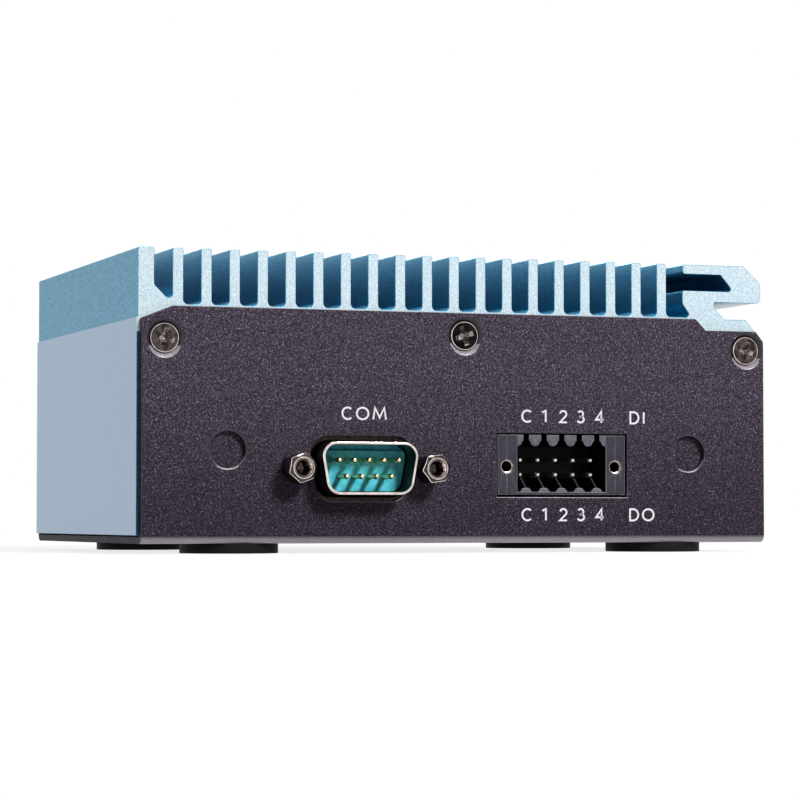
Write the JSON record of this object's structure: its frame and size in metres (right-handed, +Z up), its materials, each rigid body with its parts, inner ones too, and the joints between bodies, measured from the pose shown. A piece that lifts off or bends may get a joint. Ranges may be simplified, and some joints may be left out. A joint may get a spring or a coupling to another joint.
{
  "type": "fanless industrial pc",
  "caption": "Compact fanless industrial computer: finned aluminium cover over a folded steel tray, with a serial port, a digital I/O header and rear sockets.",
  "frame": {"origin": "centre of the footprint, on the surface that the feet stand on", "axes": "+X across the row of fins, seen from the front to the right; -Y out of the front panel; +Z up"},
  "size_m": [0.1216, 0.0856, 0.0535],
  "materials": {
    "anodised_cover": "bead-blasted and blue-grey anodised, fine sparkle",
    "coated_steel": "charcoal powder coat with a fine metallic sparkle",
    "dark_nickel": "nickel-plated screw steel",
    "bright_nickel": "drawn and nickel-plated steel",
    "foot_rubber": "matt black rubber",
    "teal_insert": "moulded teal polyester",
    "contact_gold": "gold-plated brass",
    "tin_plate": "tin-plated brass",
    "black_polymer": "moulded black polyamide",
    "circuit_board": "green solder mask on glass-fibre board",
    "chip_resin": "black moulding resin",
    "gap_pad": "soft grey silicone pad",
    "milled_aluminium": "milled, bare"
  },
  "bodies": {
    "root": {"heatsink_cover": "anodised_cover", "chassis_tray": "coated_steel", "front_screws": "dark_nickel", "rear_screws": "dark_nickel", "foot_front_left": "foot_rubber", "foot_front_right": "foot_rubber", "foot_rear_left": "foot_rubber", "foot_rear_right": "foot_rubber", "com_shell": "bright_nickel", "com_insulator": "teal_insert", "com_pins": "contact_gold", "com_bracket": "black_polymer", "com_jack_screws": "bright_nickel", "io_header_housing": "black_polymer", "io_header_pins": "tin_plate", "io_header_nuts": "bright_nickel", "io_board": "circuit_board", "io_board_standoffs": "dark_nickel", "io_board_screws": "dark_nickel", "mainboard": "circuit_board", "mainboard_standoffs": "dark_nickel", "mainboard_screws": "dark_nickel", "cpu_package": "chip_resin", "thermal_pad": "gap_pad", "heat_spreader": "milled_aluminium", "heat_spreader_screws": "dark_nickel", "memory_socket": "black_polymer", "memory_module": "circuit_board", "ssd_socket": "black_polymer", "ssd_module": "circuit_board", "coin_cell_holder": "black_polymer", "coin_cell": "bright_nickel", "stack_header": "black_polymer", "stack_socket": "black_polymer", "lan_jack_1": "bright_nickel", "lan_jack_2": "bright_nickel", "usb_shell": "bright_nickel", "usb_insulator": "black_polymer", "display_port_shell": "bright_nickel", "display_port_insulator": "black_polymer", "dc_inlet_housing": "black_polymer", "dc_inlet_pins": "tin_plate"}
  },
  "joints": []
}
